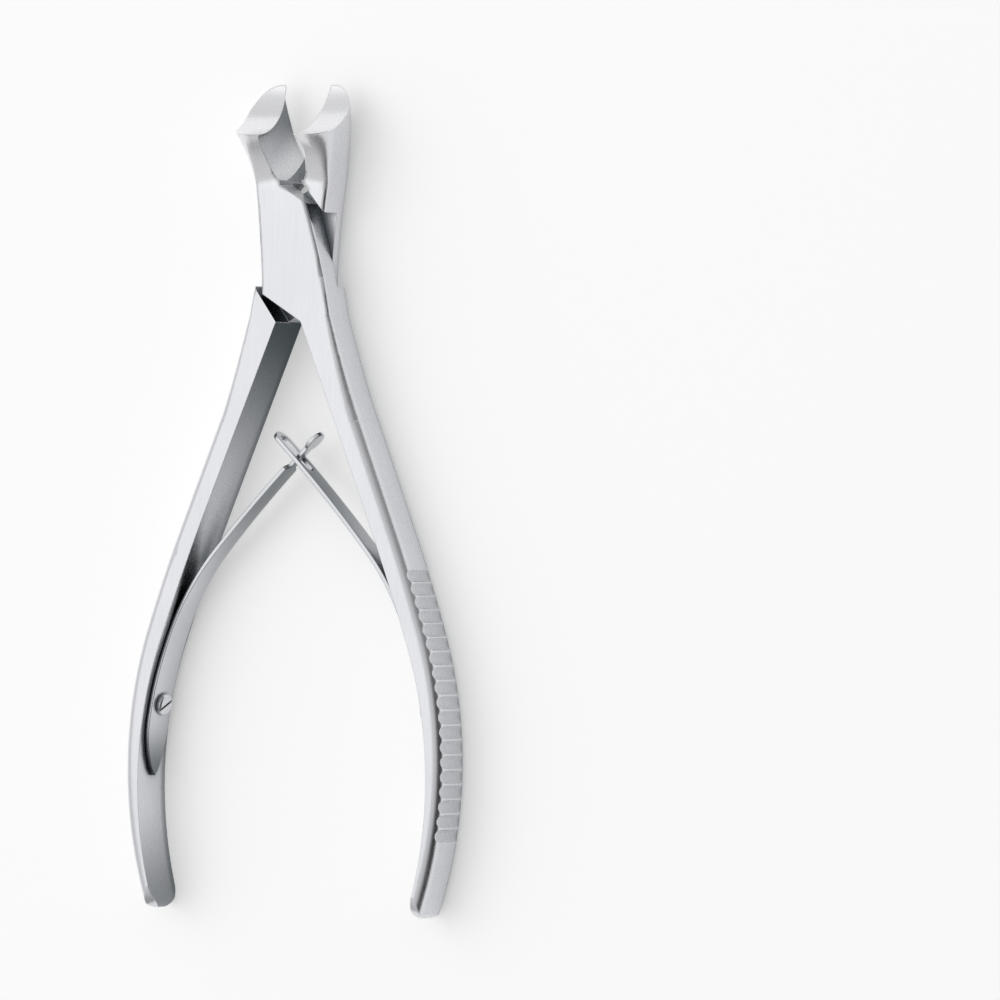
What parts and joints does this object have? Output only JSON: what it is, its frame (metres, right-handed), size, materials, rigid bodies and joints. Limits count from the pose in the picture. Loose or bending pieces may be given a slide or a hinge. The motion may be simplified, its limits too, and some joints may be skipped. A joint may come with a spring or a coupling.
{
  "type": "bone rongeur",
  "caption": "Hand-held bone rongeur with angled concave cutting jaws, a screwed lap joint, bowed scalloped handles and interlocking leaf springs.",
  "frame": {"origin": "on the pivot screw's axis, in the plane of the flat rear faces on which the instrument rests", "axes": "+Y from the handles to the jaws, +X from the jaw of the front half to the jaw of the rear half, +Z along the pivot axis from the rear faces to the front faces"},
  "size_m": [0.0814, 0.1798, 0.0176],
  "materials": {
    "half_steel": "satin",
    "spring_steel": "satin",
    "screw_steel": "polished"
  },
  "bodies": {
    "rear": {"rear_half": "half_steel", "tongue_spring_screw": "screw_steel"},
    "front": {"front_half": "half_steel", "pivot_screw": "screw_steel", "slotted_spring_screw": "screw_steel"},
    "tongue_leaf": {"tongue_spring": "spring_steel"},
    "slotted_leaf": {"slotted_spring": "spring_steel"}
  },
  "joints": [
    {"name": "pivot", "type": "hinge", "parent": "rear", "child": "front", "pos_m": [0, 0, 0.00545], "axis": [0, 0, -1], "range_deg": [0, 15.8], "stiffness_Nm_per_rad": 4, "springref_deg": -5.73, "deforming": ["slotted_spring", "tongue_spring"]},
    {"name": "slotted_leaf_bend", "type": "hinge", "parent": "front", "child": "slotted_leaf", "pos_m": [0.0266, -0.0725, 0.00545], "axis": [0, 0, -1], "range_deg": [0, 9.5], "deforming": ["slotted_spring"]},
    {"name": "tongue_leaf_bend", "type": "hinge", "parent": "rear", "child": "tongue_leaf", "pos_m": [-0.0266, -0.0725, 0.00545], "axis": [0, 0, 1], "range_deg": [0, 9.5], "deforming": ["tongue_spring"]}
  ],
  "couplings": [
    {"joint": "slotted_leaf_bend", "follows": "pivot", "ratio": 0.54},
    {"joint": "tongue_leaf_bend", "follows": "pivot", "ratio": 0.54}
  ]
}
